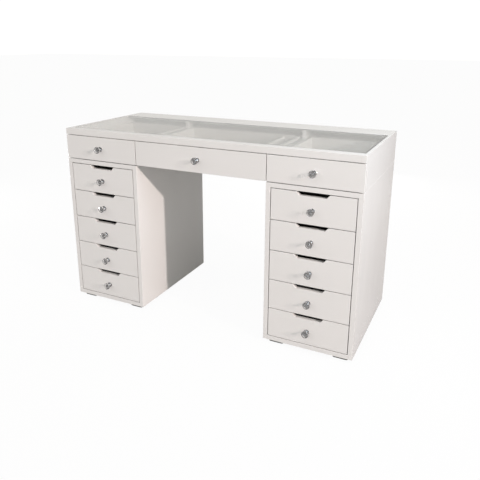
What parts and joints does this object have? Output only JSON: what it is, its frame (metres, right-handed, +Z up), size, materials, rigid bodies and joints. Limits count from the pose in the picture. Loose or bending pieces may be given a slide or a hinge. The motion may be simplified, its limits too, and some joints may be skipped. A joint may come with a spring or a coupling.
{
  "type": "salon styling station",
  "caption": "White lacquered styling desk with a clear glass display top over wide shallow drawers and two pedestals of notched drawers with crystal knobs.",
  "frame": {"origin": "on the floor, in the middle of the whole object's box, drawer knobs included", "axes": "+X to the right of a person seated at the desk, -Y the side the drawers open towards, +Z up"},
  "size_m": [1.31, 0.589, 0.8],
  "materials": {
    "white_lacquer": "high-gloss white lacquer on fibreboard",
    "white_melamine": "satin white melamine on board",
    "clear_glass": "clear toughened glass with polished edges",
    "crystal": "cut clear crystal over a chrome rosette and screw",
    "zinc_plated_steel": "bright zinc-plated pressed steel",
    "aluminium": "satin anodised extrusion",
    "foot_plastic": "moulded light grey plastic"
  },
  "bodies": {
    "root": {"tabletop_left_side": "white_lacquer", "tabletop_right_side": "white_lacquer", "tabletop_back": "white_lacquer", "tabletop_bottom": "white_lacquer", "tabletop_front_rail": "white_lacquer", "tabletop_partitions": "white_lacquer", "rear_shelves": "white_melamine", "glass_support_bar": "aluminium", "rear_deck": "white_lacquer", "glass_top": "clear_glass", "left_pedestal_outer_side": "white_lacquer", "right_pedestal_outer_side": "white_lacquer", "left_pedestal_inner_side": "white_lacquer", "right_pedestal_inner_side": "white_lacquer", "left_pedestal_back": "white_lacquer", "right_pedestal_back": "white_lacquer", "left_pedestal_top_and_bottom": "white_lacquer", "right_pedestal_top_and_bottom": "white_lacquer", "feet": "foot_plastic", "case_bolts": "zinc_plated_steel", "slide_case_members": "zinc_plated_steel"},
    "top_left_drawer": {"top_left_drawer_front": "white_lacquer", "top_left_drawer_box": "white_melamine", "top_left_drawer_knob": "crystal"},
    "top_centre_drawer": {"top_centre_drawer_front": "white_lacquer", "top_centre_drawer_box": "white_melamine", "top_centre_drawer_knob": "crystal"},
    "top_right_drawer": {"top_right_drawer_front": "white_lacquer", "top_right_drawer_box": "white_melamine", "top_right_drawer_knob": "crystal"},
    "left_drawer_1": {"left_drawer_1_front": "white_lacquer", "left_drawer_1_box": "white_melamine", "left_drawer_1_knob": "crystal"},
    "left_drawer_2": {"left_drawer_2_front": "white_lacquer", "left_drawer_2_box": "white_melamine", "left_drawer_2_knob": "crystal"},
    "left_drawer_3": {"left_drawer_3_front": "white_lacquer", "left_drawer_3_box": "white_melamine", "left_drawer_3_knob": "crystal"},
    "left_drawer_4": {"left_drawer_4_front": "white_lacquer", "left_drawer_4_box": "white_melamine", "left_drawer_4_knob": "crystal"},
    "left_drawer_5": {"left_drawer_5_front": "white_lacquer", "left_drawer_5_box": "white_melamine", "left_drawer_5_knob": "crystal"},
    "right_drawer_1": {"right_drawer_1_front": "white_lacquer", "right_drawer_1_box": "white_melamine", "right_drawer_1_knob": "crystal"},
    "right_drawer_2": {"right_drawer_2_front": "white_lacquer", "right_drawer_2_box": "white_melamine", "right_drawer_2_knob": "crystal"},
    "right_drawer_3": {"right_drawer_3_front": "white_lacquer", "right_drawer_3_box": "white_melamine", "right_drawer_3_knob": "crystal"},
    "right_drawer_4": {"right_drawer_4_front": "white_lacquer", "right_drawer_4_box": "white_melamine", "right_drawer_4_knob": "crystal"},
    "right_drawer_5": {"right_drawer_5_front": "white_lacquer", "right_drawer_5_box": "white_melamine", "right_drawer_5_knob": "crystal"}
  },
  "joints": [
    {"name": "top_left_drawer_slide", "type": "slide", "parent": "root", "child": "top_left_drawer", "axis": [0, -1, 0], "range_m": [0, 0.3]},
    {"name": "top_centre_drawer_slide", "type": "slide", "parent": "root", "child": "top_centre_drawer", "axis": [0, -1, 0], "range_m": [0, 0.3]},
    {"name": "top_right_drawer_slide", "type": "slide", "parent": "root", "child": "top_right_drawer", "axis": [0, -1, 0], "range_m": [0, 0.3]},
    {"name": "left_drawer_1_slide", "type": "slide", "parent": "root", "child": "left_drawer_1", "axis": [0, -1, 0], "range_m": [0, 0.335]},
    {"name": "left_drawer_2_slide", "type": "slide", "parent": "root", "child": "left_drawer_2", "axis": [0, -1, 0], "range_m": [0, 0.335]},
    {"name": "left_drawer_3_slide", "type": "slide", "parent": "root", "child": "left_drawer_3", "axis": [0, -1, 0], "range_m": [0, 0.335]},
    {"name": "left_drawer_4_slide", "type": "slide", "parent": "root", "child": "left_drawer_4", "axis": [0, -1, 0], "range_m": [0, 0.335]},
    {"name": "left_drawer_5_slide", "type": "slide", "parent": "root", "child": "left_drawer_5", "axis": [0, -1, 0], "range_m": [0, 0.335]},
    {"name": "right_drawer_1_slide", "type": "slide", "parent": "root", "child": "right_drawer_1", "axis": [0, -1, 0], "range_m": [0, 0.335]},
    {"name": "right_drawer_2_slide", "type": "slide", "parent": "root", "child": "right_drawer_2", "axis": [0, -1, 0], "range_m": [0, 0.335]},
    {"name": "right_drawer_3_slide", "type": "slide", "parent": "root", "child": "right_drawer_3", "axis": [0, -1, 0], "range_m": [0, 0.335]},
    {"name": "right_drawer_4_slide", "type": "slide", "parent": "root", "child": "right_drawer_4", "axis": [0, -1, 0], "range_m": [0, 0.335]},
    {"name": "right_drawer_5_slide", "type": "slide", "parent": "root", "child": "right_drawer_5", "axis": [0, -1, 0], "range_m": [0, 0.335]}
  ]
}
